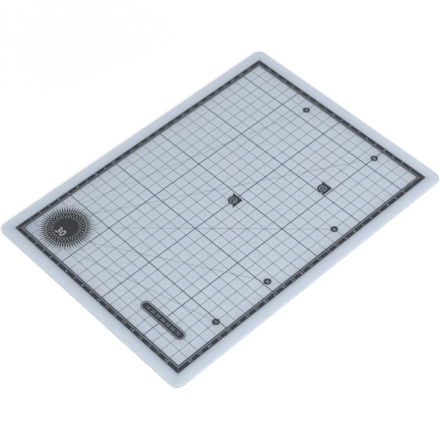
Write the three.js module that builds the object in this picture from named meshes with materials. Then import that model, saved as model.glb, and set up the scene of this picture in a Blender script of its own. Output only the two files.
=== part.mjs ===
// Cutting mat: three bonded vinyl plies with a measuring grid printed on the upper one.
// Millimetres, +Z up. The origin is the middle of the underside, X runs along the short
// side and Y along the long side. The print is laid out from the grid's near left corner.

import * as THREE from "three";

// Sheet
const MARGIN = 15;
const CORNER_RADIUS = 7.5;
const BOTTOM_PLY = 0.7;
const CORE_PLY = 0.59;
const TOP_PLY = 0.7;
const BOND_LINE = 0.005;

// Grid
const GRID_COLUMNS = 19;
const GRID_ROWS = 27;
const GRID_PITCH = 10;
const MAJOR_EVERY = 5;
const FINE_LINE = 0.3;
const MAJOR_LINE = 0.7;
const BORDER_LINE = 0.95;

// Ruler strips outside the grid, mitred at the corners
const TICK_ROW = 1.25;
const STRIP_WIDTH = 3.55;
const MITRE_GAP = 0.15;

// Ink
const INK_FILM = 0.03;
const INK_GAP = 0.2;

// Rosette in the near left corner
const ROSETTE_RADIUS = 24;
const ROSETTE_INSET = 1;
const ROSETTE_DISC_RADIUS = 10.5;
const ROSETTE_RING_GAP = 0.3;
const ROSETTE_RAY_LENGTH = 7.5;
const ROSETTE_RAYS = 60;

// Label bar, centred on a crossing of the grid
const LABEL_COLUMNS_FROM_RIGHT = 4;
const LABEL_ROW = 2;
const LABEL_LENGTH = 45.9;
const LABEL_WIDTH = 6.2;
const LABEL_RING_GAP = 0.55;
const LABEL_RING_LINE = 0.75;

// Corner marks of standard sheets laid on the grid's near left corner
const SHEETS = [
  { name: "small", width: 105, length: 148 },
  { name: "large", width: 148, length: 210 },
];
const CORNER_MARK_LINE = 0.4;
const CORNER_MARK_LEG = 11.7;
const CORNER_MARK_INSET = 5.4;
const CORNER_MARK_RADIUS = 4.7;

// Angles measured at the grid's near left corner
const ANGLES = [15, 30, 45, 60, 75];
const ANGLE_MARK_RADIUS = 3.2;
const ANGLE_LINE = 0.2;

// Segments that a curve is drawn with: half of those in one arc
const CURVE_STEPS = 6;
const CIRCLE_STEPS = 16;

const gridWidth = GRID_COLUMNS * GRID_PITCH;
const gridLength = GRID_ROWS * GRID_PITCH;
const matWidth = gridWidth + 2 * MARGIN;
const matLength = gridLength + 2 * MARGIN;
const coreBase = BOTTOM_PLY + BOND_LINE;
const topBase = coreBase + CORE_PLY + BOND_LINE;
const matTop = topBase + TOP_PLY;

// Height at which a pull of the screen starts; each pull lies on the one before it.
function pullBase(pull) {
  return matTop + BOND_LINE + pull * (INK_FILM + BOND_LINE);
}

// The ruler, the label bar and the lengthwise lines go down first, then the crosswise
// lines, and the marks cover both.
const FIRST_PULL = pullBase(0);
const SECOND_PULL = pullBase(1);
const THIRD_PULL = pullBase(2);

function addQuad(corners, a, b, c, d) {
  corners.push(...a, ...b, ...c, ...a, ...c, ...d);
}

function geometryOf(corners) {
  const geometry = new THREE.BufferGeometry();
  geometry.setAttribute("position", new THREE.Float32BufferAttribute(corners, 3));
  return geometry;
}

function rectangle(x0, y0, x1, y1) {
  return new THREE.Shape([
    new THREE.Vector2(x0, y0),
    new THREE.Vector2(x1, y0),
    new THREE.Vector2(x1, y1),
    new THREE.Vector2(x0, y1),
  ]);
}

function roundedRectangle(width, length, radius) {
  const x = width / 2 - radius;
  const y = length / 2 - radius;
  const shape = new THREE.Shape();
  shape.absarc(x, y, radius, 0, Math.PI / 2);
  shape.absarc(-x, y, radius, Math.PI / 2, Math.PI);
  shape.absarc(-x, -y, radius, Math.PI, 1.5 * Math.PI);
  shape.absarc(x, -y, radius, 1.5 * Math.PI, 2 * Math.PI);
  shape.closePath();
  return shape;
}

// A bar with round ends, its long side along X.
function bar(length, width) {
  const reach = (length - width) / 2;
  const shape = new THREE.Shape();
  shape.absarc(reach, 0, width / 2, -Math.PI / 2, Math.PI / 2);
  shape.absarc(-reach, 0, width / 2, Math.PI / 2, 1.5 * Math.PI);
  shape.closePath();
  return shape;
}

function disc(radius) {
  return new THREE.Shape().absarc(0, 0, radius, 0, 2 * Math.PI);
}

function extrude(shape, depth, base, curveSegments = CURVE_STEPS) {
  const settings = { depth, bevelEnabled: false, curveSegments };
  return new THREE.ExtrudeGeometry(shape, settings).translate(0, 0, base);
}

// A printed film: a flat shape in grid coordinates, moved to its place on the mat.
function film(shape, base, x = 0, y = 0, curveSegments = CURVE_STEPS) {
  const place = [x - gridWidth / 2, y - gridLength / 2, 0];
  return extrude(shape, INK_FILM, base, curveSegments).translate(...place);
}

// A film between two closed outlines with the same number of points, one inside the other.
function ringFilm(outside, inside, base, x, y) {
  const corners = [];
  const level = (point, z) => [point.x + x - gridWidth / 2, point.y + y - gridLength / 2, z];
  const top = base + INK_FILM;
  outside.forEach((point, index) => {
    const next = (index + 1) % outside.length;
    const section = [inside[index], point, outside[next], inside[next]];
    const high = section.map((corner) => level(corner, top));
    const low = section.map((corner) => level(corner, base));
    addQuad(corners, ...high);
    addQuad(corners, ...low.toReversed());
    addQuad(corners, low[1], low[2], high[2], high[1]);
    addQuad(corners, low[3], low[0], high[0], high[3]);
  });
  return geometryOf(corners);
}

// A film on a lattice of rectangles: those that hold ink, closed by walls where the ink ends.
function latticeFilm(xs, ys, inked, base) {
  const corners = [];
  const top = base + INK_FILM;
  const holdsInk = (i, j) => i >= 0 && j >= 0 && i < xs.length - 1 && j < ys.length - 1 && inked(i, j);
  const level = (i, j, z) => [xs[i] - gridWidth / 2, ys[j] - gridLength / 2, z];
  for (let i = 0; i < xs.length - 1; i += 1) {
    for (let j = 0; j < ys.length - 1; j += 1) {
      if (!holdsInk(i, j)) {
        continue;
      }
      const loop = [[i, j], [i + 1, j], [i + 1, j + 1], [i, j + 1]];
      const beside = [[i, j - 1], [i + 1, j], [i, j + 1], [i - 1, j]];
      const high = loop.map((corner) => level(...corner, top));
      const low = loop.map((corner) => level(...corner, base));
      addQuad(corners, ...high);
      addQuad(corners, ...low.toReversed());
      beside.forEach((cell, side) => {
        const next = (side + 1) % 4;
        if (!holdsInk(...cell)) {
          addQuad(corners, low[side], low[next], high[next], high[side]);
        }
      });
    }
  }
  return geometryOf(corners);
}

function lineWidth(index, count) {
  if (index === 0 || index === count) {
    return BORDER_LINE;
  }
  return index % MAJOR_EVERY === 0 ? MAJOR_LINE : FINE_LINE;
}

// Both edges of each of the lines that cross one side of the grid.
function lineEdges(count) {
  const edges = [];
  for (let index = 0; index <= count; index += 1) {
    const half = lineWidth(index, count) / 2;
    edges.push(index * GRID_PITCH - half, index * GRID_PITCH + half);
  }
  return edges;
}

// Places along the lines: their tied ends in the border and the two sides of a clearing.
function lineStops(span, clearing) {
  const half = BORDER_LINE / 2;
  return [-half, half, ...clearing, span - half, span + half];
}

// Which steps of the lattice hold ink: every second step across is a line, the first and
// last step along tie the lines, and the middle one is left out where the clearing is.
function ladderInk(edges, clearing) {
  const [FIRST_TIE, CLEARED, LAST_TIE] = [0, 2, 4];
  return (across, along) => {
    if (along === FIRST_TIE || along === LAST_TIE) {
      return true;
    }
    const inClearing = edges[across] > clearing[0] && edges[across + 1] < clearing[1];
    return across % 2 === 0 && !(along === CLEARED && inClearing);
  };
}

// A strip outside one side of the grid, its ends cut on the diagonals of the grid's corners.
// The place of a point comes from how far along the side it is and how far outside it.
function rulerStrip(span, placeOf) {
  const inside = TICK_ROW;
  const outside = TICK_ROW + STRIP_WIDTH;
  const cut = MITRE_GAP / Math.SQRT2;
  const corners = [
    [cut - outside, outside],
    [span + outside - cut, outside],
    [span + inside - cut, inside],
    [cut - inside, inside],
  ];
  return new THREE.Shape(corners.map((corner) => new THREE.Vector2(...placeOf(...corner))));
}

function rosetteRays() {
  const root = ROSETTE_RADIUS - ROSETTE_RAY_LENGTH;
  const points = [];
  for (let step = 0; step < 2 * ROSETTE_RAYS; step += 1) {
    const angle = (step * Math.PI) / ROSETTE_RAYS;
    const radius = step % 2 === 0 ? ROSETTE_RADIUS : root;
    points.push(new THREE.Vector2(radius * Math.cos(angle), radius * Math.sin(angle)));
  }
  const shape = new THREE.Shape(points);
  shape.holes.push(disc(ROSETTE_DISC_RADIUS + ROSETTE_RING_GAP));
  return shape;
}

// A right-angled corner with a round tab that stands out from its long side.
function cornerMark() {
  const middle = -CORNER_MARK_INSET;
  const depth = (CORNER_MARK_LEG / 2 - CORNER_MARK_INSET) * Math.SQRT2;
  const turn = Math.asin(depth / CORNER_MARK_RADIUS);
  const start = 0.75 * Math.PI + turn;
  const end = 1.75 * Math.PI - turn;
  const shape = new THREE.Shape();
  shape.moveTo(0, 0);
  shape.lineTo(-CORNER_MARK_LEG, 0);
  shape.absarc(middle, middle, CORNER_MARK_RADIUS, start, end);
  shape.lineTo(0, -CORNER_MARK_LEG);
  shape.closePath();
  return shape;
}

// Where an angle's mark sits: one pitch inside the grid's far or right border.
function angleMarkDistance(angle) {
  const toRight = (gridWidth - GRID_PITCH) / Math.cos(angle);
  const toFar = (gridLength - GRID_PITCH) / Math.sin(angle);
  return Math.min(toRight, toFar);
}

// Where a line from the grid's corner comes out of the rosette.
function rosetteExit(angle) {
  const centre = ROSETTE_RADIUS + ROSETTE_INSET;
  const along = centre * (Math.cos(angle) + Math.sin(angle));
  const aside = centre * (Math.cos(angle) - Math.sin(angle));
  return along + Math.sqrt(ROSETTE_RADIUS ** 2 - aside ** 2);
}

function angleLine(angle) {
  const start = rosetteExit(angle) + INK_GAP;
  const end = angleMarkDistance(angle) - ANGLE_MARK_RADIUS - INK_GAP;
  const strip = rectangle(start, -ANGLE_LINE / 2, end, ANGLE_LINE / 2);
  const turned = strip.getPoints().map((point) => point.rotateAround(new THREE.Vector2(), angle));
  return new THREE.Shape(turned);
}

const model = new THREE.Group();
model.name = "cutting_mat";

function addPiece(name, geometry, color, roughness) {
  const material = new THREE.MeshStandardMaterial({ color, roughness, metalness: 0 });
  const mesh = new THREE.Mesh(geometry, material);
  mesh.name = name;
  model.add(mesh);
}

function addInk(name, geometry) {
  addPiece(name, geometry, "#3a3c43", 0.65);
}

// Plies
const outline = roundedRectangle(matWidth, matLength, CORNER_RADIUS);
addPiece("bottom_cutting_ply", extrude(outline, BOTTOM_PLY, 0), "#c7d1dd", 0.5);
addPiece("rigid_core_ply", extrude(outline, CORE_PLY, coreBase), "#d3dae2", 0.5);
addPiece("top_cutting_ply", extrude(outline, TOP_PLY, topBase), "#c7d1dd", 0.5);

// Ruler strips
const strips = {
  ruler_strip_left: rulerStrip(gridLength, (along, out) => [-out, along]),
  ruler_strip_right: rulerStrip(gridLength, (along, out) => [gridWidth + out, along]),
  ruler_strip_near: rulerStrip(gridWidth, (along, out) => [along, -out]),
  ruler_strip_far: rulerStrip(gridWidth, (along, out) => [along, gridLength + out]),
};
for (const [name, shape] of Object.entries(strips)) {
  addInk(name, film(shape, FIRST_PULL));
}

// Label bar and its outline
const labelX = (GRID_COLUMNS - LABEL_COLUMNS_FROM_RIGHT) * GRID_PITCH;
const labelY = LABEL_ROW * GRID_PITCH;
const ringInside = bar(LABEL_LENGTH + 2 * LABEL_RING_GAP, LABEL_WIDTH + 2 * LABEL_RING_GAP);
const ringReach = LABEL_RING_GAP + LABEL_RING_LINE;
const ringOutside = bar(LABEL_LENGTH + 2 * ringReach, LABEL_WIDTH + 2 * ringReach);
const ringSides = [ringOutside, ringInside].map((side) => side.getPoints(CURVE_STEPS));
addInk("label_bar_ink", film(bar(LABEL_LENGTH, LABEL_WIDTH), FIRST_PULL, labelX, labelY));
addInk("label_outline_ink", ringFilm(...ringSides, FIRST_PULL, labelX, labelY));

// Grid lines, left out where the label bar stands
const clearX = LABEL_LENGTH / 2 + ringReach + INK_GAP;
const clearY = LABEL_WIDTH / 2 + ringReach + INK_GAP;
const clearColumns = [labelX - clearX, labelX + clearX];
const clearRows = [labelY - clearY, labelY + clearY];
const columnEdges = lineEdges(GRID_COLUMNS);
const rowEdges = lineEdges(GRID_ROWS);
const columnInk = ladderInk(columnEdges, clearColumns);
const rowInk = ladderInk(rowEdges, clearRows);
const columnStops = lineStops(gridLength, clearRows);
const rowStops = lineStops(gridWidth, clearColumns);
addInk("lengthwise_lines_ink", latticeFilm(columnEdges, columnStops, columnInk, FIRST_PULL));
addInk(
  "crosswise_lines_ink",
  latticeFilm(rowStops, rowEdges, (i, j) => rowInk(j, i), SECOND_PULL),
);

// Rosette
const rosette = ROSETTE_RADIUS + ROSETTE_INSET;
const rosetteDisc = disc(ROSETTE_DISC_RADIUS);
addInk("rosette_disc_ink", film(rosetteDisc, THIRD_PULL, rosette, rosette, CIRCLE_STEPS));
addInk("rosette_rays_ink", film(rosetteRays(), THIRD_PULL, rosette, rosette, CIRCLE_STEPS));

// Corner marks of the sheets that fit on the grid, their line outside the sheet
for (const sheet of SHEETS.filter((size) => size.width < gridWidth && size.length < gridLength)) {
  const x = sheet.width + CORNER_MARK_LINE;
  const y = sheet.length + CORNER_MARK_LINE;
  const mark = film(cornerMark(), THIRD_PULL, x, y, CIRCLE_STEPS);
  addInk(`sheet_corner_${sheet.name}_ink`, mark);
}

// Angle marks and their lines
for (const degrees of ANGLES) {
  const angle = THREE.MathUtils.degToRad(degrees);
  const distance = angleMarkDistance(angle);
  const x = distance * Math.cos(angle);
  const y = distance * Math.sin(angle);
  const mark = film(disc(ANGLE_MARK_RADIUS), THIRD_PULL, x, y, CIRCLE_STEPS);
  addInk(`angle_mark_${degrees}`, mark);
  addInk(`angle_line_${degrees}`, film(angleLine(angle), THIRD_PULL));
}

export default model;
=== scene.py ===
"""Cutting mat: frosted vinyl plies under a charcoal measuring print, on a pale studio floor.

Sizes in the dataclass fields are millimetres, and metres in the studio. The print is modelled in
millimetres from the grid's near left corner, with the mat's upper face at height 0, and is then
settled in metres in the frame of the CAD model.
"""

import logging
import math
from collections.abc import Callable, Iterable, Iterator
from contextlib import contextmanager
from dataclasses import dataclass
from enum import Enum

import bmesh
import bpy
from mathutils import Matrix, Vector


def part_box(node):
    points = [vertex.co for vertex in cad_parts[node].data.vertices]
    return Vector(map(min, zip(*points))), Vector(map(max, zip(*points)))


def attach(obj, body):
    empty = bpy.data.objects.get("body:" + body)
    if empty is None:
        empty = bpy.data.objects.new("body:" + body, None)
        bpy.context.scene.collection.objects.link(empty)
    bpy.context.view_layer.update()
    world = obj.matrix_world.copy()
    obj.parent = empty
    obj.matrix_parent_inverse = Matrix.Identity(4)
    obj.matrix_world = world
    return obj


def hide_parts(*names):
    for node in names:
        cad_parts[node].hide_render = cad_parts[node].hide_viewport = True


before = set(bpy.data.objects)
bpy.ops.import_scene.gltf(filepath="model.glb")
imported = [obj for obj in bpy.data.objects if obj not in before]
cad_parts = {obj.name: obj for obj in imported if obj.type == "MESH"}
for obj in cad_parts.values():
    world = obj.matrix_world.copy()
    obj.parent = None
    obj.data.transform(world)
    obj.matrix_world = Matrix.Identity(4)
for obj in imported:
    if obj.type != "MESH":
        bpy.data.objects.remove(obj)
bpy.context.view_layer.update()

Piece = bpy.types.Object
Finish = bpy.types.Material
Tree = bpy.types.NodeTree
Socket = bpy.types.NodeSocket
Point = tuple[float, float]
Point3 = tuple[float, float, float]

LOG = logging.getLogger("cutting_mat")
MM = 0.001
ROOT = "root"
DISC_SIDES = 64
MARKED_DEGREES = (15, 30, 45, 60, 75)

# Heights that differ by less than this are one level, in millimetres.
LEVEL = 1e-4

# Tones of the milky vinyl by distance outside the grid's border, in millimetres, with painted shade
# and light.
# The painted shade deepens towards and under the ruler band, where the ink keeps light out; the
# paler tones towards the outer rim are painted light.
VINYL_TONES_AND_PAINTED_SHADE = (
    (-20.0, "#c5cfda"),
    (-9.0, "#c5cfda"),
    (-5.0, "#c1cbd6"),
    (-2.5, "#bdc6d2"),
    (-1.2, "#b8c2cd"),
    (0.0, "#aeb8c4"),
    (0.9, "#97a1ac"),
    (4.6, "#9ca6b1"),
    (5.2, "#b1bcc7"),
    (6.5, "#bcc6d1"),
    (8.0, "#c3cdd9"),
    (10.0, "#c8d2de"),
    (15.0, "#d0d8e4"),
)


class Slot(Enum):
    """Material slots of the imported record."""

    SOFT_VINYL = "soft_vinyl"
    RIGID_VINYL = "rigid_vinyl"
    INK = "print_ink"


class Side(Enum):
    """Sides of the grid."""

    NEAR = "near"
    RIGHT = "right"
    FAR = "far"
    LEFT = "left"

    @property
    def upright(self) -> bool:
        """Tell whether the side runs along Y."""
        return self in (Side.LEFT, Side.RIGHT)


class Course(Enum):
    """Directions of the grid's lines: along X or along Y."""

    CROSSWISE = "crosswise"
    LENGTHWISE = "lengthwise"

    def swap(self, first: float, second: float) -> Point:
        """Turn a pair along and across the lines to X and Y, or back."""
        return (first, second) if self is Course.CROSSWISE else (second, first)


class StandardSheet(Enum):
    """Standard sheets with a corner mark, by width and length in millimetres."""

    SMALL = (105.0, 148.0)
    LARGE = (148.0, 210.0)


class Part(Enum):
    """Parts of a mesh that are selected in edit mode."""

    VERTEX = "VERT"
    EDGE = "EDGE"


class Boolean(Enum):
    """Ways to combine a mesh with a tool."""

    CUT = "DIFFERENCE"
    WELD = "UNION"


def deselect_all() -> None:
    """Deselect every object."""
    bpy.ops.object.select_all(action="DESELECT")


def activate(piece: Piece) -> None:
    """Make one object the only selected and the active one.

    Args:
        piece: Object that the next operators act on.
    """
    deselect_all()
    piece.select_set(True)
    bpy.context.view_layer.objects.active = piece


def apply_place(piece: Piece) -> None:
    """Move an object's place, turn and scale into its mesh."""
    activate(piece)
    bpy.ops.object.transform_apply(location=True, rotation=True, scale=True)


@contextmanager
def editing(piece: Piece) -> Iterator[None]:
    """Hold a mesh in edit mode, all selected at first.

    Args:
        piece: Mesh object to edit.

    Yields:
        Nothing, while edit mode lasts.
    """
    activate(piece)
    bpy.ops.object.mode_set(mode="EDIT")
    bpy.ops.mesh.select_all(action="SELECT")
    yield
    bpy.ops.object.mode_set(mode="OBJECT")


def select_parts(piece: Piece, part: Part, wanted: Callable[[object], bool]) -> None:
    """Select the vertices or edges that pass a test, in edit mode.

    Args:
        piece: Mesh object in edit mode.
        part: Parts to select.
        wanted: Test on a vertex or an edge of the edited mesh.
    """
    bpy.ops.mesh.select_all(action="DESELECT")
    bpy.ops.mesh.select_mode(type=part.value)
    mesh = bmesh.from_edit_mesh(piece.data)
    found = mesh.verts if part is Part.VERTEX else mesh.edges
    found.index_update()
    for one in found:
        one.select_set(wanted(one))
    bmesh.update_edit_mesh(piece.data)


def round_edges(
    piece: Piece, wanted: Callable[[Vector, Vector], bool], size: float, steps: int,
) -> None:
    """Round the edges that pass a test, in edit mode.

    Args:
        piece: Mesh object in edit mode.
        wanted: Test on the two ends of an edge.
        size: Reach of the round.
        steps: Number of faces in the round.
    """
    select_parts(piece, Part.EDGE, lambda edge: wanted(*(vert.co for vert in edge.verts)))
    bpy.ops.mesh.bevel(offset=size, segments=steps, affect="EDGES")


def stands(start: Vector, end: Vector) -> bool:
    """Tell whether an edge between two places changes height."""
    return abs(start.z - end.z) > LEVEL


def cut_off(place: Point, facing: Point) -> None:
    """Cut the edited mesh by an upright plane, drop what the plane faces, and close the cut."""
    bpy.ops.mesh.select_all(action="SELECT")
    bpy.ops.mesh.bisect(plane_co=(*place, 0.0), plane_no=(*facing, 0.0), use_fill=True,
                        clear_outer=True)


def add_box(low: Point3, high: Point3) -> Piece:
    """Add a cube stretched between two corners.

    Args:
        low: Lowest corner.
        high: Highest corner.

    Returns:
        The new object, with its place in its mesh.
    """
    deselect_all()
    middle = [(a + b) / 2 for a, b in zip(low, high)]
    size = [b - a for a, b in zip(low, high)]
    bpy.ops.mesh.primitive_cube_add(size=1.0, location=middle, scale=size)
    piece = bpy.context.object
    apply_place(piece)
    return piece


def add_disc(radius: float, low: float, high: float, place: Point, sides: int = DISC_SIDES) -> Piece:
    """Add an upright disc.

    Args:
        radius: Radius of the disc.
        low: Height of its underside.
        high: Height of its top.
        place: Middle of the disc in plan.
        sides: Number of sides.

    Returns:
        The new object, with its place in its mesh.
    """
    deselect_all()
    bpy.ops.mesh.primitive_cylinder_add(
        vertices=sides, radius=radius, depth=high - low,
        location=(place[0], place[1], (low + high) / 2),
    )
    piece = bpy.context.object
    apply_place(piece)
    return piece


def join(pieces: Iterable[Piece], name: str) -> Piece:
    """Join objects into one mesh.

    Args:
        pieces: Objects to join.
        name: Name of the result.

    Returns:
        The joined object.
    """
    parts = list(pieces)
    activate(parts[0])
    for part in parts[1:]:
        part.select_set(True)
    bpy.ops.object.join()
    parts[0].name = parts[0].data.name = name
    return parts[0]


def repeat(piece: Piece, count: int, step: Point3) -> None:
    """Repeat a mesh at even steps with an applied Array modifier.

    Args:
        piece: Mesh to repeat.
        count: How many there are in all.
        step: Step from one to the next.
    """
    activate(piece)
    array = piece.modifiers.new("repeat", "ARRAY")
    array.count = count
    array.use_relative_offset = False
    array.use_constant_offset = True
    array.constant_offset_displace = step
    bpy.ops.object.modifier_apply(modifier=array.name)


def combine(piece: Piece, tool: Piece, way: Boolean = Boolean.CUT) -> None:
    """Apply a Boolean with a tool mesh and delete the tool.

    Args:
        piece: Mesh that is changed.
        tool: Mesh that cuts it or is welded to it.
        way: What the tool does.
    """
    activate(piece)
    modifier = piece.modifiers.new("combine", "BOOLEAN")
    modifier.operation = way.value
    modifier.solver = "EXACT"
    modifier.object = tool
    bpy.ops.object.modifier_apply(modifier=modifier.name)
    bpy.data.objects.remove(tool, do_unlink=True)


@dataclass(frozen=True)
class Layout:
    """Sizes that the printed pieces share, and how far a tool that cuts the film reaches."""

    columns: int = 19
    rows: int = 27
    pitch: float = 10.0
    major_every: int = 5
    sunk: float = 0.01
    film: float = 0.03
    cover: float = 0.045
    bite: float = 1.0

    @property
    def width(self) -> float:
        """Width of the grid."""
        return self.columns * self.pitch

    @property
    def length(self) -> float:
        """Length of the grid."""
        return self.rows * self.pitch

    def box(self, node: str) -> tuple[Point, Point]:
        """Find the corners of a CAD node in the grid's millimetres.

        Args:
            node: Name of the node.

        Returns:
            The lowest and the highest corner in plan.
        """
        shift = (self.width / 2, self.length / 2)
        return tuple(tuple(c / MM + s for c, s in zip(corner, shift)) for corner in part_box(node))

    def disc(self, radius: float, place: Point, sides: int = DISC_SIDES) -> Piece:
        """Add a disc of ink film."""
        return add_disc(radius, -self.sunk, self.film, place, sides)

    def punch(self, radius: float, place: Point, sides: int = DISC_SIDES) -> Piece:
        """Add a round tool that reaches through the film."""
        return add_disc(radius, -self.bite, self.bite, place, sides)

    def finish(self, piece: Piece, name: str, node: str, ink: Finish | None = None) -> Piece:
        """Args:
            piece: Mesh in the grid's millimetres.
            name: Name of the piece.
            node: CAD node that the piece stands for.
            ink: Material of the film, or None where the mesh is inked already.

        Returns:
            The finished piece.
        """
        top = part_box("top_cutting_ply")[1][2]
        piece.scale = (MM, MM, MM)
        piece.location = (-self.width / 2 * MM, -self.length / 2 * MM, top)
        apply_place(piece)
        piece.name = piece.data.name = name
        if ink:
            piece.data.materials.append(ink)
        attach(piece, ROOT)
        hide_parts(node)
        return piece


def linear(code: str) -> tuple[float, float, float, float]:
    """Turn an sRGB hex colour to linear RGBA.

    Args:
        code: Colour such as "#c7d1dd".

    Returns:
        The linear red, green and blue with an alpha of 1.
    """
    channels = [int(code[i:i + 2], 16) / 255 for i in (1, 3, 5)]
    flat = [c / 12.92 if c <= 0.04045 else ((c + 0.055) / 1.055) ** 2.4 for c in channels]
    return flat[0], flat[1], flat[2], 1.0


def add_node(
    tree: Tree, kind: str, inputs: dict[str | int, object] | None = None, **settings: object,
) -> bpy.types.Node:
    """Add a shader node with its settings, constant inputs and links.

    Args:
        tree: Node tree that takes the node.
        kind: Node type, such as "ShaderNodeBump".
        inputs: Input sockets by name or index, each a constant or a socket to link from.
        settings: Node properties by name.

    Returns:
        The new node.
    """
    node = tree.nodes.new(kind)
    for name, value in settings.items():
        setattr(node, name, value)
    for key, value in (inputs or {}).items():
        if isinstance(value, Socket):
            tree.links.new(value, node.inputs[key])
        else:
            node.inputs[key].default_value = value
    return node


def new_material(name: str) -> tuple[Finish, Tree, Socket]:
    """Make an empty node material.

    Args:
        name: Name of the material.

    Returns:
        The material, its node tree, and a socket with the place on the piece.
    """
    material = bpy.data.materials.new(name)
    material.use_nodes = True
    tree = material.node_tree
    tree.nodes.clear()
    return material, tree, add_node(tree, "ShaderNodeTexCoord").outputs["Object"]


@dataclass(frozen=True)
class DenseInk:
    """A patch of dense ink, as a bar along X with round ends, and the shade painted into the vinyl
    round it.

    The shade falls off evenly over a distance on both sides of the patch's outline.
    """

    x: float
    y: float
    half_length: float
    radius: float
    shade: float
    reach: float

    def factor(self, tree: Tree, place: Socket, layout: Layout) -> Socket:
        """Add the nodes of the painted shade: how much the vinyl's colour is darkened round the
        patch.

        Args:
            tree: Node tree of the vinyl.
            place: Socket with the place on the mat.
            layout: Shared sizes of the print.

        Returns:
            A socket with a factor of at most 1.
        """
        middle = ((self.x - layout.width / 2) * MM, (self.y - layout.length / 2) * MM, 0.0)
        length = (self.half_length * MM, 0.0, 0.0)
        zero = (0.0, 0.0, 0.0)
        for operation, other in (("SUBTRACT", middle), ("ABSOLUTE", zero),
                                 ("SUBTRACT", length), ("MAXIMUM", zero)):
            place = add_node(tree, "ShaderNodeVectorMath", {0: place, 1: other},
                             operation=operation).outputs["Vector"]
        apart = add_node(tree, "ShaderNodeVectorMath", {0: place}, operation="LENGTH")
        return add_node(
            tree, "ShaderNodeMapRange",
            {"Value": apart.outputs["Value"], "From Min": (self.radius - self.reach) * MM,
             "From Max": (self.radius + self.reach) * MM, "To Min": self.shade},
            interpolation_type="SMOOTHSTEP",
        ).outputs["Result"]


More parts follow.
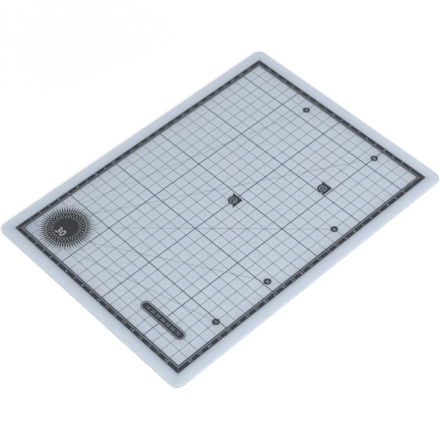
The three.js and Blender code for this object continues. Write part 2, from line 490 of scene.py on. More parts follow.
@dataclass(frozen=True)
class FrostedVinyl:
    """Calendered soft PVC: milky, see-through in the upper half millimetre, frosted by its grain.

    Light that enters the sheet spreads inside it, so the body is shaded for some millimetres
    round dense ink, which keeps light out, and is palest in the margin. This shade and the pale
    margin are painted into the colour: tones by the distance outside the grid's border, and
    painted shade round each patch of dense ink, shifted a little to the near right of the ink
    as if it lay under the face. The upright faces of the die-cut rim get a little painted shade.
    """

    name: str
    tones: tuple[tuple[float, str], ...]
    lean: Point = (0.5, -0.5)
    rim_shade: float = 0.96
    spread: float = 1.0
    roughness: float = 0.45
    roughness_swing: float = 0.05
    refraction: float = 1.53
    gloss: float = 0.3
    grain: float = 0.9
    grain_detail: float = 2.0
    grain_harshness: float = 0.6
    grain_band: Point = (0.3, 0.7)
    grain_speckle: float = 0.025
    grain_relief: float = 0.1
    grain_depth: float = 0.02

    def tone(self, tree: Tree, place: Socket, layout: Layout) -> Socket:
        """Add the nodes that tone the body by its distance outside the grid's border, with painted
        shade near and under the ruler band and painted light towards the outer rim.

        Args:
            tree: Node tree of the vinyl.
            place: Socket with the place on the mat.
            layout: Shared sizes of the print.

        Returns:
            A socket with the colour.
        """
        axes = add_node(tree, "ShaderNodeSeparateXYZ", {"Vector": place})
        reach = []
        for axis, size in (("X", layout.width), ("Y", layout.length)):
            side = add_node(tree, "ShaderNodeMath", {0: axes.outputs[axis]}, operation="ABSOLUTE")
            reach.append(add_node(tree, "ShaderNodeMath", {0: side.outputs[0], 1: size / 2 * MM},
                                  operation="SUBTRACT").outputs[0])
        outside = add_node(tree, "ShaderNodeMath", {0: reach[0], 1: reach[1]}, operation="MAXIMUM")
        first, last = self.tones[0][0], self.tones[-1][0]
        share = add_node(
            tree, "ShaderNodeMapRange",
            {"Value": outside.outputs[0], "From Min": first * MM, "From Max": last * MM},
        )
        ramp = add_node(tree, "ShaderNodeValToRGB", {"Fac": share.outputs["Result"]})
        stops = ramp.color_ramp.elements
        for _ in range(len(self.tones) - len(stops)):
            stops.new(0.5)
        for stop, (distance, colour) in zip(stops, self.tones):
            stop.position = (distance - first) / (last - first)
            stop.color = linear(colour)
        return ramp.outputs["Color"]

    def material(self, layout: Layout, patches: Iterable[DenseInk]) -> Finish:
        """Build the node material.

        Args:
            layout: Shared sizes of the print, for the distance to the ruler band.
            patches: Patches of dense ink on the grid, round which shade is painted into the body
                too.

        Returns:
            The finished material.
        """
        material, tree, place = new_material(self.name)
        # The painted shade is shifted by the lean, a little to the near right of the ink, as if it
        # lay under the face.
        lean = (self.lean[0] * MM, self.lean[1] * MM, 0.0)
        painted_shade_place = add_node(tree, "ShaderNodeVectorMath", {0: place, 1: lean},
                         operation="SUBTRACT").outputs["Vector"]
        # The real grain is about 0.1 mm; it is drawn coarser here so that it shows at all.
        grain = add_node(
            tree, "ShaderNodeTexNoise",
            {"Vector": place, "Scale": 1 / (self.grain * MM), "Detail": self.grain_detail,
             "Roughness": self.grain_harshness},
        ).outputs["Fac"]
        speckle = add_node(
            tree, "ShaderNodeMapRange",
            {"Value": grain, "From Min": self.grain_band[0], "From Max": self.grain_band[1],
             "To Min": 1 - self.grain_speckle, "To Max": 1 + self.grain_speckle},
        )
        # Upright faces of the rim get painted shade: their colour is scaled down to rim_shade.
        normal = add_node(tree, "ShaderNodeNewGeometry").outputs["True Normal"]
        upright = add_node(tree, "ShaderNodeSeparateXYZ", {"Vector": normal})
        flat = add_node(tree, "ShaderNodeMath", {0: upright.outputs["Z"]}, operation="ABSOLUTE")
        rim = add_node(tree, "ShaderNodeMapRange",
                       {"Value": flat.outputs[0], "To Min": self.rim_shade})
        colour = self.tone(tree, painted_shade_place, layout)
        shades = [patch.factor(tree, painted_shade_place, layout) for patch in patches]
        # The colour is scaled by the grain's speckle, by the painted shade on the upright rim, and
        # by the painted shade round each patch of dense ink.
        for factor in (speckle.outputs["Result"], rim.outputs["Result"], *shades):
            colour = add_node(tree, "ShaderNodeVectorMath", {0: colour, "Scale": factor},
                              operation="SCALE").outputs["Vector"]
        bump = add_node(
            tree, "ShaderNodeBump",
            {"Height": grain, "Strength": self.grain_relief, "Distance": self.grain_depth * MM},
        )
        rough = add_node(
            tree, "ShaderNodeMapRange",
            {"Value": grain, "To Min": self.roughness - self.roughness_swing,
             "To Max": self.roughness + self.roughness_swing},
        )
        shader = add_node(
            tree, "ShaderNodeBsdfPrincipled",
            {"Base Color": colour, "Roughness": rough.outputs["Result"],
             "IOR": self.refraction, "Specular IOR Level": self.gloss, "Subsurface Weight": 1.0,
             "Subsurface Radius": (1.0, 1.0, 1.0), "Subsurface Scale": self.spread * MM,
             "Normal": bump.outputs["Normal"]},
        )
        add_node(tree, "ShaderNodeOutputMaterial", {"Surface": shader.outputs["BSDF"]})
        return material


@dataclass(frozen=True)
class RigidVinyl:
    """Extruded rigid PVC: the whiter, denser core, cut clean at the rim. Its colour is greyed below
    that white as painted shade, since the core shows only in the rim.
    """

    name: str
    colour: str
    cloud: float = 6.0
    cloud_detail: float = 3.0
    cloud_swing: float = 0.04
    roughness: float = 0.45
    refraction: float = 1.53

    def material(self) -> Finish:
        """Build the node material.

        Returns:
            The finished material.
        """
        material, tree, place = new_material(self.name)
        cloud = add_node(
            tree, "ShaderNodeTexNoise",
            {"Vector": place, "Scale": 1 / (self.cloud * MM), "Detail": self.cloud_detail},
        )
        mottle = add_node(
            tree, "ShaderNodeMapRange",
            {"Value": cloud.outputs["Fac"], "To Min": 1 - self.cloud_swing,
             "To Max": 1 + self.cloud_swing},
        )
        colour = add_node(
            tree, "ShaderNodeVectorMath",
            {0: linear(self.colour)[:3], "Scale": mottle.outputs["Result"]}, operation="SCALE",
        )
        shader = add_node(
            tree, "ShaderNodeBsdfPrincipled",
            {"Base Color": colour.outputs["Vector"], "Roughness": self.roughness,
             "IOR": self.refraction},
        )
        add_node(tree, "ShaderNodeOutputMaterial", {"Surface": shader.outputs["BSDF"]})
        return material


@dataclass(frozen=True)
class ScreenInk:
    """Solvent screen-print ink: a matte charcoal film, slightly uneven where the mesh laid it.

    In thin lines the film is thinner, and the blue of the vinyl comes through it. Where much of
    the mesh is open the film is full, and nearly neutral.
    """

    name: str
    thin: str
    full: str
    patch: float = 1.2
    patch_detail: float = 3.0
    patch_relief: float = 0.15
    patch_depth: float = 0.01
    roughness: float = 0.6
    refraction: float = 1.48
    gloss: float = 0.3

    def material(self) -> Finish:
        """Build the node material.

        Returns:
            The finished material.
        """
        material, tree, place = new_material(self.name)
        lay = add_node(
            tree, "ShaderNodeTexNoise",
            {"Vector": place, "Scale": 1 / (self.patch * MM), "Detail": self.patch_detail},
        ).outputs["Fac"]
        colour = add_node(
            tree, "ShaderNodeMix",
            {"Factor": lay, "A": linear(self.thin), "B": linear(self.full)}, data_type="RGBA",
        )
        bump = add_node(
            tree, "ShaderNodeBump",
            {"Height": lay, "Strength": self.patch_relief, "Distance": self.patch_depth * MM},
        )
        shader = add_node(
            tree, "ShaderNodeBsdfPrincipled",
            {"Base Color": colour.outputs["Result"], "Roughness": self.roughness,
             "IOR": self.refraction, "Specular IOR Level": self.gloss,
             "Normal": bump.outputs["Normal"]},
        )
        add_node(tree, "ShaderNodeOutputMaterial", {"Surface": shader.outputs["BSDF"]})
        return material


@dataclass(frozen=True)
class Numeral:
    """A plain number set in the print, centred by the width that its digits are set to."""

    text: str
    height: float
    place: Point
    turn: float = 0.0
    weight: float = 0.0
    spacing: float = 1.0
    type_size: float = 10.0
    half_depth: float = 0.5
    curve_steps: int = 3
    merge: float = 0.001

    def solid(self) -> Piece:
        """Make the number a solid that reaches through the ink film.

        Returns:
            A closed mesh object in the grid's millimetres.
        """
        deselect_all()
        bpy.ops.object.text_add()
        piece = bpy.context.object
        piece.data.body = self.text
        piece.data.align_x = "CENTER"
        piece.data.size = self.type_size
        piece.data.extrude = self.half_depth
        piece.data.offset = self.weight
        piece.data.space_character = self.spacing
        piece.data.resolution_u = self.curve_steps
        bpy.ops.object.convert(target="MESH")
        with editing(piece):
            bpy.ops.mesh.remove_doubles(threshold=self.merge)
        bpy.ops.object.origin_set(type="ORIGIN_GEOMETRY", center="BOUNDS")
        scale = self.height / piece.dimensions[1]
        shift = piece.location.x * scale
        piece.scale = (scale, scale, 1.0)
        piece.rotation_euler = (0.0, 0.0, self.turn)
        piece.location = (self.place[0] + shift * math.cos(self.turn),
                          self.place[1] + shift * math.sin(self.turn), 0.0)
        apply_place(piece)
        return piece


@dataclass
class Sheet:
    """The laminated sheet: three plies with die-cut, softly broken rims."""

    corner: float = 7.5
    corner_steps: int = 16
    rim: float = 0.3
    foot: float = 0.1
    hairline: float = 0.04
    rim_steps: int = 4
    smooth_degrees: float = 50.0

    def ply(self, node: str, rim_low: float, rim_high: float) -> Piece:
        """Model one ply over the box of its CAD node.

        Args:
            node: CAD node that the ply stands for.
            rim_low: Round of the lower rim.
            rim_high: Round of the upper rim.

        Returns:
            The finished ply, riding on the root.
        """
        low, high = (tuple(c / MM for c in corner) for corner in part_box(node))
        piece = add_box(low, high)
        with editing(piece):
            round_edges(piece, stands, self.corner, self.corner_steps)
            for level, rim in ((low[2], rim_low), (high[2], rim_high)):
                round_edges(piece, lambda a, b: abs(a.z - level) + abs(b.z - level) < LEVEL,
                            rim, self.rim_steps)
        bpy.ops.object.shade_smooth_by_angle(angle=math.radians(self.smooth_degrees))
        piece.scale = (MM, MM, MM)
        apply_place(piece)
        piece.name = piece.data.name = node.replace("_ply", "_sheet")
        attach(piece, ROOT)
        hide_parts(node)
        return piece

    def build(self, soft: Finish, core: Finish) -> list[Piece]:
        """Model and dress the three plies.

        Args:
            soft: Material of the two cutting plies.
            core: Material of the stiff core.

        Returns:
            The plies from the lowest to the highest.
        """
        plies = []
        for node, rims, slot, material in (
            ("bottom_cutting_ply", (self.foot, self.hairline), Slot.SOFT_VINYL, soft),
            ("rigid_core_ply", (self.hairline, self.hairline), Slot.RIGID_VINYL, core),
            ("top_cutting_ply", (self.hairline, self.rim), Slot.SOFT_VINYL, soft),
        ):
            piece = self.ply(node, *rims)
            piece.data.materials.append(material)
            plies.append(piece)
        return plies


@dataclass
class RulerSide:
    """A side of the ruler round the grid: a dark mitred strip with open numbers, and ticks."""

    layout: Layout
    side: Side
    mitre: float = 0.15
    number_height: float = 2.6
    number_centre: float = 2.98
    number_spacing: float = 1.15
    number_weight: float = 0.06
    tick: float = 0.42
    tick_root: float = 0.47
    tick_one: float = 0.95
    tick_five: float = 1.1
    tick_ten: float = 1.22

    @property
    def count(self) -> int:
        """Number of centimetres on the side."""
        return self.layout.rows if self.side.upright else self.layout.columns

    def at(self, distance: float, out: float) -> Point:
        """Find a point by its place on the side.

        Args:
            distance: Distance along the side.
            out: How far outside the grid the point lies.

        Returns:
            X and Y in the grid's millimetres.
        """
        return {
            Side.NEAR: (distance, -out),
            Side.FAR: (distance, self.layout.length + out),
            Side.LEFT: (-out, distance),
            Side.RIGHT: (self.layout.width + out, distance),
        }[self.side]

    def ticks(self) -> list[Piece]:
        """Model the ticks, one row for each place in a centimetre.

        Returns:
            The rows of ticks, in the grid's millimetres.
        """
        lay = self.layout
        step = (0.0, lay.pitch, 0.0) if self.side.upright else (lay.pitch, 0.0, 0.0)
        places = round(lay.pitch)
        rows = []
        for place in range(places):
            reach = {0: self.tick_ten, places // 2: self.tick_five}.get(place, self.tick_one)
            ends = (self.at(place - self.tick / 2, self.tick_root),
                    self.at(place + self.tick / 2, reach))
            low, high = (tuple(pick(*pair) for pair in zip(*ends)) for pick in (min, max))
            row = add_box((*low, -lay.sunk), (*high, lay.film))
            repeat(row, self.count + (place == 0), step)
            rows.append(row)
        return rows

    def numbers(self) -> Piece:
        """Model the centimetre numbers as one solid.

        The near and left sides count from the near left corner, and the other two from the
        corner across from it.

        Returns:
            A mesh of separate digits in the grid's millimetres.
        """
        turn = -math.pi / 2 if self.side.upright else 0.0
        lines = range(1, self.count)
        labels = lines if self.side in (Side.NEAR, Side.LEFT) else lines[::-1]
        return join([
            Numeral(str(label), self.number_height,
                    self.at(line * self.layout.pitch, self.number_centre),
                    turn, self.number_weight, self.number_spacing).solid()
            for line, label in zip(lines, labels)
        ], "numbers")

    def strip(self) -> Piece:
        """Model the strip over the box of its CAD node, with mitred ends.

        Returns:
            A closed mesh in the grid's millimetres.
        """
        lay = self.layout
        low, high = lay.box(f"ruler_strip_{self.side.value}")
        piece = add_box((*low, -lay.sunk), (*high, lay.film))
        start = Vector(self.at(0.0, 0.0))
        out = Vector(self.at(0.0, 1.0)) - start
        with editing(piece):
            for end, corner in ((-1.0, 0.0), (1.0, self.count * lay.pitch)):
                along = Vector(self.at(end, 0.0)) - start
                cut_off(self.at(corner - end * self.mitre / math.sqrt(2), 0.0), along - out)
        return piece

    def build(self, ink: Finish) -> Piece:
        """Model the side and dress it.

        Args:
            ink: Ink of the strip and the ticks.

        Returns:
            The finished side.
        """
        strip = self.strip()
        combine(strip, self.numbers())
        piece = join([strip, *self.ticks()], "side")
        name = self.side.value
        return self.layout.finish(piece, f"ruler_{name}", f"ruler_strip_{name}", ink)


@dataclass(frozen=True)
class RoundField:
    """A round field that the grid lines leave clear."""

    x: float
    y: float
    radius: float

    def gap(self, across: float, course: Course) -> Point | None:
        """Find the stretch of a line that the field covers.

        Args:
            across: The line's fixed coordinate.
            course: Direction of the line.

        Returns:
            Start and end along the line, or None where the line misses the field.
        """
        middle, level = course.swap(self.x, self.y)
        offset = across - level
        if abs(offset) >= self.radius:
            return None
        half = math.sqrt(self.radius ** 2 - offset ** 2)
        return middle - half, middle + half

    def covers(self, x: float, y: float) -> bool:
        """Tell whether a point of the print lies in the field."""
        return math.hypot(x - self.x, y - self.y) < self.radius


@dataclass(frozen=True)
class BoxField:
    """A rectangular field that the grid lines leave clear."""

    x: float
    y: float
    half_x: float
    half_y: float

    def gap(self, across: float, course: Course) -> Point | None:
        """Find the stretch of a line that the field covers.

        Args:
            across: The line's fixed coordinate.
            course: Direction of the line.

        Returns:
            Start and end along the line, or None where the line misses the field.
        """
        middle, level = course.swap(self.x, self.y)
        reach, width = course.swap(self.half_x, self.half_y)
        return (middle - reach, middle + reach) if abs(across - level) < width else None

    def covers(self, x: float, y: float) -> bool:
        """Tell whether a point of the print lies in the field."""
        return abs(x - self.x) < self.half_x and abs(y - self.y) < self.half_y


@dataclass
class GridLines:
    """The centimetre lines of one direction and an arm of the cross that halves each cell.

    Both are left out where marks stand.
    """

    layout: Layout
    course: Course
    fields: list[RoundField | BoxField]
    fine: float = 0.31
    major: float = 0.72
    border: float = 0.95
    shortest: float = 0.2
    cross: float = 0.9
    cross_line: float = 0.09
    step_up: float = 0.004

    def spans(self, across: float, length: float) -> list[Point]:
        """Find the stretches of a line that are left between the fields.

        Args:
            across: The line's fixed coordinate.
            length: Length of the line.

        Returns:
            Start and end of each stretch.
        """
        gaps = sorted(gap for gap in (f.gap(across, self.course) for f in self.fields) if gap)
        edges = [0.0, *(edge for gap in gaps for edge in gap), length]
        return [(a, b) for a, b in zip(edges[::2], edges[1::2]) if b - a > self.shortest]

    def covered(self, place: Vector) -> bool:
        """Tell whether the middle of the cell round a place lies in a field."""
        x, y = ((c // self.layout.pitch + 0.5) * self.layout.pitch for c in place.xy)
        return any(field.covers(x, y) for field in self.fields)

    def cross_arms(self, high: float) -> Piece:
        """Model an arm of the small cross in each cell.

        Args:
            high: Height of the film's top.

        Returns:
            One mesh of separate arms in the grid's millimetres.
        """
        lay = self.layout
        half_x, half_y = self.course.swap(self.cross / 2, self.cross_line / 2)
        middle = lay.pitch / 2
        piece = add_box((middle - half_x, middle - half_y, -lay.sunk),
                        (middle + half_x, middle + half_y, high))
        repeat(piece, lay.columns, (lay.pitch, 0.0, 0.0))
        repeat(piece, lay.rows, (0.0, lay.pitch, 0.0))
        with editing(piece):
            select_parts(piece, Part.VERTEX, lambda vert: self.covered(vert.co))
            bpy.ops.mesh.delete(type="VERT")
        return piece

    def build(self, ink: Finish, fine_ink: Finish) -> Piece:
        """Model the lines and the arms, ink each of them, and join them.

        Args:
            ink: Ink of the two border lines.
            fine_ink: Ink of the lines between them and of the crosses.

        Returns:
            The finished lines.
        """
        lay = self.layout
        if self.course is Course.CROSSWISE:
            count, length, high = lay.rows, lay.width, lay.film + self.step_up
        else:
            count, length, high = lay.columns, lay.length, lay.film
        bars = []
        for index in range(count + 1):
            across = index * lay.pitch
            rim = index in (0, count)
            if rim:
                half = self.border / 2
                spans = [(-half, length + half)]
            else:
                half = (self.fine if index % lay.major_every else self.major) / 2
                spans = self.spans(across, length)
            for start, end in spans:
                bar = add_box((*self.course.swap(start, across - half), -lay.sunk),
                              (*self.course.swap(end, across + half), high))
                bar.data.materials.append(ink if rim else fine_ink)
                bars.append(bar)
        arms = self.cross_arms(high)
        arms.data.materials.append(fine_ink)
        name = f"{self.course.value}_lines"
        return lay.finish(join([*bars, arms], name), name, f"{name}_ink")


@dataclass
class AngleMark:
    """A round mark with an angle in degrees, and the dashed line to it from the grid's corner.

    The rosette's field interrupts the line.
    """

    layout: Layout
    degrees: int
    rosette: RoundField
    radius: float = 3.15
    number_height: float = 2.5
    line: float = 0.25
    dash: float = 0.9
    space: float = 0.3
    fan_start: float = 1.3
    step_up: float = 0.008
    shade: float = 0.8
    shade_reach: float = 8.0

    @property
    def angle(self) -> float:
        """Angle of the line in radians."""
        return math.radians(self.degrees)

    @property
    def distance(self) -> float:
        """Distance of the mark from the grid's corner."""
        lay = self.layout
        return min((lay.width - lay.pitch) / math.cos(self.angle),
                   (lay.length - lay.pitch) / math.sin(self.angle))

    @property
    def centre(self) -> Point:
        """Middle of the mark."""
        return self.distance * math.cos(self.angle), self.distance * math.sin(self.angle)

    def field(self) -> RoundField:
        """Give the field that the mark keeps clear of grid lines."""
        return RoundField(*self.centre, self.radius)

    def patches(self) -> list[DenseInk]:
        """List the patch of ink round which shade is painted into the vinyl."""
        return [DenseInk(*self.centre, 0.0, self.radius, self.shade, self.shade_reach)]

    def dashes(self, first: float, last: float) -> Piece:
        """Model the dashes between two distances from the corner.

        Args:
            first: Distance at which the first dash starts.
            last: Distance that no dash passes.

        Returns:
            A mesh of separate dashes in the grid's millimetres.
        """
        lay = self.layout
        pace = self.dash + self.space
        half = self.line / 2
        piece = add_box((first, -half, -lay.sunk),
                        (first + self.dash, half, lay.film + self.step_up))
        repeat(piece, int((last - first + self.space) / pace), (pace, 0.0, 0.0))
        piece.rotation_euler = (0.0, 0.0, self.angle)
        apply_place(piece)
        return piece

    def build(self, ink: Finish, fine_ink: Finish) -> list[Piece]:
        """Model and dress the mark, with its number left open, and the line.

        Args:
            ink: Ink of the mark.
            fine_ink: Ink of the dashes.

        Returns:
            The mark and the line.
        """
        mark = self.layout.disc(self.radius, self.centre)
        combine(mark, Numeral(str(self.degrees), self.number_height, self.centre).solid())
        middle = Vector((self.rosette.x, self.rosette.y))
        along = middle.dot(Vector((math.cos(self.angle), math.sin(self.angle))))
        half = math.sqrt(self.rosette.radius ** 2 - (middle.length_squared - along ** 2))
        line = join([
            self.dashes(self.fan_start, along - half - self.space),
            self.dashes(along + half + self.space, self.distance - self.radius - self.space),
        ], "line")
        return [
            self.layout.finish(piece, f"degree_{kind}_{self.degrees}",
                               f"angle_{kind}_{self.degrees}", film)
            for kind, piece, film in (("mark", mark, ink), ("line", line, fine_ink))
        ]


@dataclass
class SheetCorner:
    """A corner mark of a standard sheet: a pointed corner with a numbered round tab."""

    layout: Layout
    sheet: StandardSheet
    line: float = 0.4
    leg: float = 11.7
    inset: float = 5.4
    radius: float = 4.7
    ring_outside: float = 3.15
    ring_inside: float = 2.7
    number_height: float = 2.8
    shade: float = 0.76
    shade_reach: float = 8.0

    @property
    def tab(self) -> Point:
        """Middle of the round tab."""
        x, y = (c - (self.inset - self.line) for c in self.sheet.value)
        return x, y

    def field(self) -> RoundField:
        """Give the field that the tab keeps clear of grid lines."""
        return RoundField(*self.tab, self.radius)

    def patches(self) -> list[DenseInk]:
        """List the patch of ink round which shade is painted into the vinyl."""
        return [DenseInk(*self.tab, 0.0, self.radius, self.shade, self.shade_reach)]

    def build(self, ink: Finish) -> Piece:
        """Model the mark with its ring and its number left open, and dress it.

        The number is the sheet's length in whole centimetres.

        Args:
            ink: Ink of the mark.

        Returns:
            The finished mark.
        """
        lay = self.layout
        low, high = -lay.sunk, lay.cover
        x, y = (c + self.line for c in self.sheet.value)
        piece = add_box((x - self.leg, y - self.leg, low), (x, y, high))
        with editing(piece):
            cut_off((x - self.leg, y), (-1.0, -1.0))
        combine(piece, add_disc(self.radius, low, high, self.tab), Boolean.WELD)
        ring = lay.punch(self.ring_outside, self.tab)
        combine(ring, add_disc(self.ring_inside, -2 * lay.bite, 2 * lay.bite, self.tab))
        combine(piece, ring)
        number = str(round(self.sheet.value[1] / lay.pitch))
        combine(piece, Numeral(number, self.number_height, self.tab).solid())
        name = f"sheet_corner_{self.sheet.name.lower()}"
        return lay.finish(piece, f"{name}_mark", f"{name}_ink", ink)


@dataclass
class Rosette:
    """A sunburst in the grid's corner: a numbered disc, a studded ring and pointed rays."""

    layout: Layout
    centre: Point = (25.0, 25.0)
    sides: int = 96
    rays: int = 60
    long_ray: float = 24.3
    short_ray: float = 23.5
    notch: float = 16.5
    ray_root: float = 16.95
    disc: float = 10.5
    ring_inside: float = 10.65
    ring_outside: float = 16.5
    stud_rows: tuple[Point, ...] = ((12.0, 0.7), (14.2, 0.7), (15.6, 0.45))
    stud_stretch: Point = (1.6, 0.6)
    clear: float = 22.5
    shade: float = 0.76
    shade_reach: float = 12.0
    number: str = "30"
    number_height: float = 6.6
    number_drop: float = 5.6
    number_weight: float = 0.14

    def field(self) -> RoundField:
        """Give the field that the rosette keeps clear of grid lines."""
        return RoundField(*self.centre, self.clear)

    def patches(self) -> list[DenseInk]:
        """List the patch of ink round which shade is painted into the vinyl."""
        return [DenseInk(*self.centre, 0.0, self.clear, self.shade, self.shade_reach)]

    def star(self) -> Piece:
        """Model the rays as one star that reaches in behind their roots.

        Returns:
            A closed mesh in the grid's millimetres.
        """
        lay = self.layout
        deselect_all()
        bpy.ops.mesh.primitive_circle_add(vertices=2 * self.rays, radius=1.0, fill_type="NGON")
        piece = bpy.context.object
        reaches = (self.long_ray, self.notch, self.short_ray, self.notch)
        with editing(piece):
            for turn, reach in enumerate(reaches):
                select_parts(piece, Part.VERTEX, lambda vert: vert.index % len(reaches) == turn)
                bpy.ops.transform.resize(value=(reach, reach, 1.0))
            bpy.ops.mesh.select_all(action="SELECT")
            bpy.ops.mesh.extrude_region_move(
                TRANSFORM_OT_translate={"value": (0.0, 0.0, lay.film + lay.sunk)})
            bpy.ops.mesh.select_all(action="SELECT")
            bpy.ops.mesh.normals_make_consistent(inside=False)
        piece.location = (*self.centre, -lay.sunk)
        apply_place(piece)
        return piece

    def studs(self) -> Piece:
        """Model the tools that open the lozenges in the ring.

        Returns:
            One mesh of separate tools in the grid's millimetres.
        """
        count = self.rays // 2
        found = []
        for row, (radius, size) in enumerate(self.stud_rows):
            for k in range(count):
                angle = (k + row / 2) * 2 * math.pi / count
                stud = self.layout.punch(size, (0.0, 0.0), sides=4)
                stud.scale = (*self.stud_stretch, 1.0)
                stud.rotation_euler = (0.0, 0.0, angle)
                stud.location = (self.centre[0] + radius * math.cos(angle),
                                 self.centre[1] + radius * math.sin(angle), 0.0)
                apply_place(stud)
                found.append(stud)
        return join(found, "studs")

    def build(self, ink: Finish) -> list[Piece]:
        """Model and dress the rays and the disc.

        Args:
            ink: Ink of both.

        Returns:
            The rays with the ring, and the disc.
        """
        lay = self.layout
        star = self.star()
        combine(star, lay.punch(self.ray_root, self.centre, self.sides))
        ring = lay.disc(self.ring_outside, self.centre, self.sides)
        combine(ring, lay.punch(self.ring_inside, self.centre, self.sides))
        combine(ring, self.studs())
        rays = join([star, ring], "rays")
        disc = lay.disc(self.disc, self.centre, self.sides)
        number_place = (self.centre[0], self.centre[1] - self.number_drop)
        number = Numeral(self.number, self.number_height, number_place, weight=self.number_weight)
        combine(disc, number.solid())
        return [
            lay.finish(rays, "rosette_rays", "rosette_rays_ink", ink),
            lay.finish(disc, "rosette_disc", "rosette_disc_ink", ink),
        ]


@dataclass
class LabelBar:
    """A bar with round ends that holds a row of plain digits, inside a thin outline."""

    layout: Layout
    centre: Point = (150.0, 20.0)
    length: float = 45.9
    width: float = 6.2
    end_steps: int = 14
    end_round: float = 0.999
    ring_gap: float = 0.55
    ring_line: float = 0.75
    clearance: float = 0.15
    digits: str = "10 20 30 40 50 60 70"
    digit_height: float = 2.8
    digit_spacing: float = 1.1
    digit_weight: float = -0.02
    shade: float = 0.77
    shade_reach: float = 10.0
    inner_shade: float = 0.65
    inner_reach: float = 1.0

    def field(self) -> BoxField:
        """Give the field that the bar and its outline keep clear of grid lines."""
        reach = self.ring_gap + self.ring_line + self.clearance
        return BoxField(*self.centre, self.length / 2 + reach, self.width / 2 + reach)

    def patches(self) -> list[DenseInk]:
        """List the patches of ink round which shade is painted into the vinyl.

        Returns:
            The patch round the outline, and the one in the digits.
        """
        inside = self.width / 2 + self.ring_gap
        half = (self.length - self.width) / 2
        return [
            DenseInk(*self.centre, half, inside + self.ring_line, self.shade, self.shade_reach),
            DenseInk(*self.centre, half, inside, self.inner_shade, self.inner_reach),
        ]

    def pill(self, grow: float, low: float, high: float) -> Piece:
        """Model a bar with round ends, grown evenly on all sides.

        Args:
            grow: Growth of the outline.
            low: Height of the underside.
            high: Height of the top.

        Returns:
            A closed mesh in the grid's millimetres.
        """
        x, y = self.centre
        half_x, half_y = self.length / 2 + grow, self.width / 2 + grow
        piece = add_box((x - half_x, y - half_y, low), (x + half_x, y + half_y, high))
        with editing(piece):
            round_edges(piece, stands, half_y * self.end_round, self.end_steps)
        return piece

    def build(self, ink: Finish) -> list[Piece]:
        """Model and dress the bar and its outline.

        Args:
            ink: Ink of both.

        Returns:
            The bar and the outline.
        """
        lay = self.layout
        bar = self.pill(0.0, -lay.sunk, lay.film)
        digits = Numeral(self.digits, self.digit_height, self.centre, 0.0, self.digit_weight,
                         self.digit_spacing)
        combine(bar, digits.solid())
        ring = self.pill(self.ring_gap + self.ring_line, -lay.sunk, lay.film)
        combine(ring, self.pill(self.ring_gap, -lay.bite, lay.bite))
        return [
            lay.finish(bar, "label_bar", "label_bar_ink", ink),
            lay.finish(ring, "label_outline", "label_outline_ink", ink),
        ]


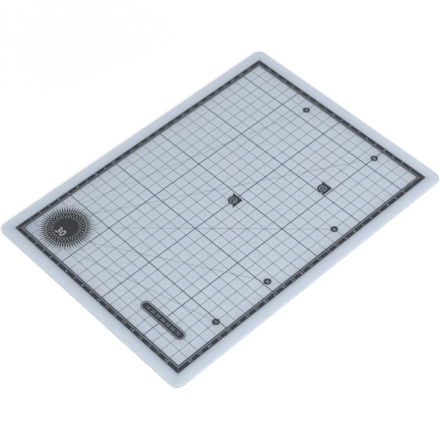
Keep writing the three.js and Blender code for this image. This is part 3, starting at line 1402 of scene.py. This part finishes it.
@dataclass
class Studio:
    """Pale floor, soft dome and lamp, and the camera of the photograph."""

    floor_colour: str = "#f6f6f6"
    floor_size: float = 12.0
    floor_drop: float = 0.0001
    floor_lift: Point = (0.14, 0.34)
    floor_reach: Point = (0.2, 1.0)
    dome: float = 0.76
    lamp_watts: float = 4.5
    lamp_size: float = 0.9
    lamp_place: Point3 = (0.74, -0.16, 0.75)
    camera_place: Point3 = (0.55495, -0.48699, 0.86744)
    camera_degrees: Point3 = (39.6965, 1.7615, 46.8162)
    camera_lens_mm: float = 112.27
    camera_sensor_mm: float = 36.0
    camera_nearest: float = 0.01

    def seen(self, tree: Tree) -> Socket:
        """Tell rays that show the background, in the picture, in a gloss or through a clear piece.

        Args:
            tree: Node tree that asks.

        Returns:
            A socket that is 1 on such rays and 0 on rays that only light the mat.
        """
        path = add_node(tree, "ShaderNodeLightPath")
        shown = path.outputs["Is Camera Ray"]
        for kind in ("Glossy", "Transmission"):
            shown = add_node(tree, "ShaderNodeMath", {0: shown, 1: path.outputs[f"Is {kind} Ray"]},
                             operation="MAXIMUM").outputs[0]
        return shown

    def floor(self) -> None:
        """Lay the floor; seen directly it is lifted to white and keeps the contact shadow.

        The lift grows away from the mat, where less of the lamp's light falls.
        """
        deselect_all()
        bpy.ops.mesh.primitive_plane_add(size=self.floor_size,
                                         location=(0.0, 0.0, -self.floor_drop))
        floor = bpy.context.object
        floor.name = "studio_floor"
        material, tree, place = new_material("seamless_paper")
        away = add_node(tree, "ShaderNodeVectorMath", {0: place}, operation="LENGTH")
        lift = add_node(
            tree, "ShaderNodeMapRange",
            {"Value": away.outputs["Value"], "From Min": self.floor_reach[0],
             "From Max": self.floor_reach[1], "To Min": self.floor_lift[0],
             "To Max": self.floor_lift[1]},
        )
        shown = add_node(tree, "ShaderNodeMath",
                         {0: self.seen(tree), 1: lift.outputs["Result"]}, operation="MULTIPLY")
        glow = add_node(tree, "ShaderNodeEmission", {"Strength": shown.outputs[0]})
        paper = add_node(tree, "ShaderNodeBsdfDiffuse", {"Color": linear(self.floor_colour)})
        both = add_node(tree, "ShaderNodeAddShader", {0: paper.outputs[0], 1: glow.outputs[0]})
        add_node(tree, "ShaderNodeOutputMaterial", {"Surface": both.outputs[0]})
        floor.data.materials.append(material)

    def light(self) -> None:
        """Set the white dome and one large soft lamp on the mat's right."""
        world = bpy.data.worlds.new("studio_dome")
        bpy.context.scene.world = world
        world.use_nodes = True
        tree = world.node_tree
        tree.nodes.clear()
        strength = add_node(
            tree, "ShaderNodeMapRange",
            {"Value": self.seen(tree), "To Min": self.dome, "To Max": 1.0},
        )
        sky = add_node(tree, "ShaderNodeBackground",
                       {"Color": (1.0, 1.0, 1.0, 1.0), "Strength": strength.outputs["Result"]})
        add_node(tree, "ShaderNodeOutputWorld", {"Surface": sky.outputs["Background"]})
        deselect_all()
        bpy.ops.object.light_add(type="AREA", location=self.lamp_place)
        lamp = bpy.context.object
        lamp.name = "soft_box"
        lamp.data.size = self.lamp_size
        lamp.data.energy = self.lamp_watts
        lamp.rotation_euler = Vector(self.lamp_place).to_track_quat("Z", "Y").to_euler()

    def camera(self) -> None:
        """Stand the camera where the photograph was taken from."""
        deselect_all()
        turn = tuple(math.radians(angle) for angle in self.camera_degrees)
        bpy.ops.object.camera_add(location=self.camera_place, rotation=turn)
        camera = bpy.context.object
        camera.name = "photo_camera"
        camera.data.lens = self.camera_lens_mm
        camera.data.sensor_width = self.camera_sensor_mm
        camera.data.clip_start = self.camera_nearest
        bpy.context.scene.camera = camera

    def build(self) -> None:
        """Set up the whole studio."""
        self.floor()
        self.light()
        self.camera()
        bpy.context.scene.view_settings.view_transform = "Standard"


def main() -> None:
    """Build the mat piece by piece and report each one."""
    logging.basicConfig(level=logging.INFO, format="%(name)s: %(message)s")
    Studio().build()
    layout = Layout()
    rosette = Rosette(layout)
    label = LabelBar(layout)
    angles = [AngleMark(layout, degrees, rosette.field()) for degrees in MARKED_DEGREES]
    corners = [SheetCorner(layout, sheet) for sheet in StandardSheet]
    marks = [rosette, label, *angles, *corners]
    fields = [mark.field() for mark in marks]
    patches = [patch for mark in marks for patch in mark.patches()]
    soft = FrostedVinyl("calendered_soft_pvc", VINYL_TONES_AND_PAINTED_SHADE).material(layout, patches)
    core = RigidVinyl("rigid_pvc_core", "#c6ccd4").material()
    ink = ScreenInk("screen_print_ink", "#353944", "#2c303a").material()
    fine_ink = ScreenInk("thin_screen_print_ink", "#2b4d6a", "#23415b").material()
    full_ink = ScreenInk("full_screen_print_ink", "#333439", "#2a2b30").material()
    pieces = Sheet().build(soft, core)
    pieces += [RulerSide(layout, side).build(ink) for side in Side]
    pieces += [GridLines(layout, course, fields).build(ink, fine_ink) for course in Course]
    for angle in angles:
        pieces += angle.build(ink, fine_ink)
    pieces += [corner.build(ink) for corner in corners]
    pieces += rosette.build(full_ink)
    pieces += label.build(ink)
    for piece in pieces:
        LOG.info("%s: %d faces", piece.name, len(piece.data.polygons))


if __name__ == "__main__":
    main()
